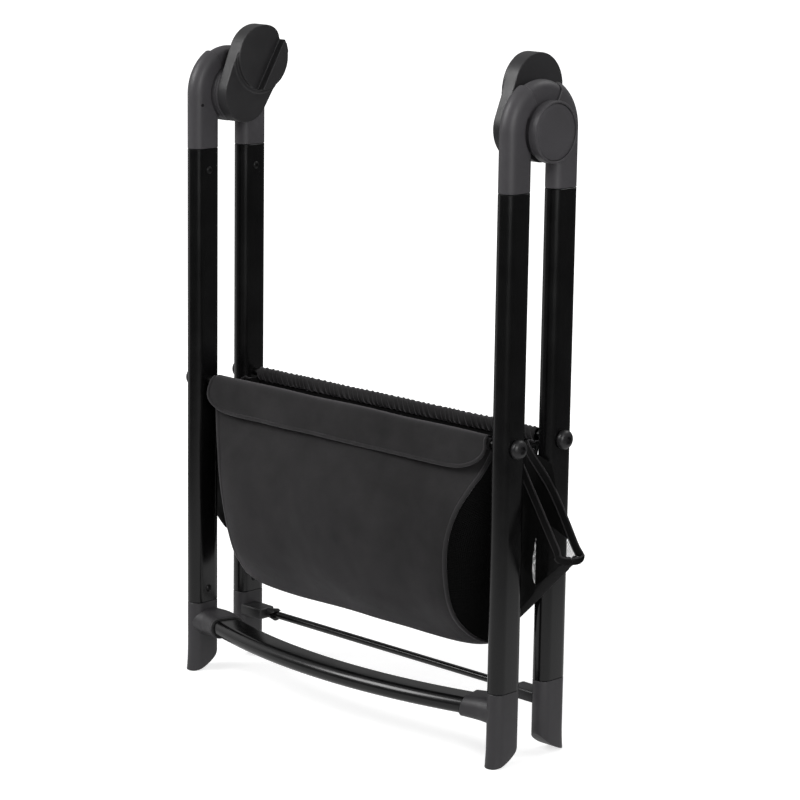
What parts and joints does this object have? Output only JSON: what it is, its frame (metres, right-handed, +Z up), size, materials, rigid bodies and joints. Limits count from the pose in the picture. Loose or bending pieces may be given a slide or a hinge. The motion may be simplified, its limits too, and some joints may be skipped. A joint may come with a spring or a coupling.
{
  "type": "bassinet stand",
  "caption": "Folding bassinet stand: four oval legs on two pivoting hubs, inner brackets for the cot, bowed front bar, thin rear bar and a hanging cloth basket with mesh ends.",
  "frame": {"origin": "on the floor, under the middle of the folded stand's box; the hub axis lies 9 mm behind it", "axes": "+X to the stand's left-to-right across the hubs, -Y the front with the bowed bar, +Z up"},
  "size_m": [0.5906, 0.1488, 0.7432],
  "materials": {
    "tube": "gloss black paint",
    "plastic": "fine matte charcoal",
    "steel": "zinc plated",
    "dark_steel": "black oxide",
    "cloth": "plain woven dark charcoal",
    "mesh": "open black net with taped edges"
  },
  "bodies": {
    "hub": {"hub_core_left": "plastic", "hub_core_right": "plastic", "pivot_bolt_left": "dark_steel", "pivot_bolt_right": "dark_steel", "pivot_nut_left": "steel", "pivot_nut_right": "steel", "lock_ring_left": "steel", "lock_ring_right": "steel", "button_spring_left": "steel", "button_spring_right": "steel"},
    "front_frame": {"front_elbow_left": "plastic", "front_elbow_right": "plastic", "front_leg_left": "tube", "front_leg_right": "tube", "front_foot_left": "plastic", "front_foot_right": "plastic", "front_crossbar": "tube", "front_knob_left": "plastic", "front_knob_right": "plastic", "elbow_screw_front_left": "steel", "elbow_screw_front_right": "steel", "foot_screw_front_left": "steel", "foot_screw_front_right": "steel", "basket_bolt_front_left": "steel", "basket_bolt_front_right": "steel", "basket_rod_front": "dark_steel"},
    "rear_frame": {"rear_elbow_left": "plastic", "rear_elbow_right": "plastic", "rear_leg_left": "tube", "rear_leg_right": "tube", "rear_foot_left": "plastic", "rear_foot_right": "plastic", "rear_crossbar": "tube", "rear_bar_collar_left": "tube", "rear_bar_collar_right": "tube", "rear_knob_left": "plastic", "rear_knob_right": "plastic", "elbow_screw_rear_left": "steel", "elbow_screw_rear_right": "steel", "foot_screw_rear_left": "steel", "foot_screw_rear_right": "steel", "basket_bolt_rear_left": "steel", "basket_bolt_rear_right": "steel", "basket_rod_rear": "dark_steel", "cot_bracket_left": "plastic", "cot_bracket_right": "plastic", "bracket_screw_upper_left": "steel", "bracket_screw_lower_left": "steel", "bracket_screw_upper_right": "steel", "bracket_screw_lower_right": "steel"},
    "basket_front": {"basket_front_half": "cloth", "basket_front_sleeve": "cloth", "basket_flap": "cloth", "basket_mesh_left": "mesh", "basket_mesh_right": "mesh"},
    "basket_rear": {"basket_rear_half": "cloth", "basket_rear_sleeve": "cloth"},
    "button_left": {"release_button_left": "plastic"},
    "button_right": {"release_button_right": "plastic"}
  },
  "joints": [
    {"name": "front_fold", "type": "hinge", "parent": "hub", "child": "front_frame", "pos_m": [0, 0.00908, 0.667], "axis": [-1, 0, 0], "range_deg": [0, 28]},
    {"name": "rear_fold", "type": "hinge", "parent": "hub", "child": "rear_frame", "pos_m": [0, 0.00908, 0.667], "axis": [1, 0, 0], "range_deg": [0, 28]},
    {"name": "basket_front_swing", "type": "hinge", "parent": "front_frame", "child": "basket_front", "pos_m": [0, -0.02642, 0.3425], "axis": [1, 0, 0], "range_deg": [0, 56]},
    {"name": "basket_rear_swing", "type": "hinge", "parent": "basket_front", "child": "basket_rear", "pos_m": [0, 0.00908, 0.018], "axis": [-1, 0, 0], "range_deg": [0, 56], "deforming": ["basket_mesh_left", "basket_mesh_right"]},
    {"name": "button_press_left", "type": "slide", "parent": "hub", "child": "button_left", "axis": [1, 0, 0], "range_m": [0, 0.0035], "stiffness_N_per_m": 1500, "deforming": ["button_spring_left"]},
    {"name": "button_press_right", "type": "slide", "parent": "hub", "child": "button_right", "axis": [-1, 0, 0], "range_m": [0, 0.0035], "stiffness_N_per_m": 1500, "deforming": ["button_spring_right"]}
  ],
  "couplings": [
    {"joint": "rear_fold", "follows": "front_fold", "ratio": 1},
    {"joint": "basket_front_swing", "follows": "front_fold", "ratio": 2},
    {"joint": "basket_rear_swing", "follows": "front_fold", "ratio": 2}
  ]
}
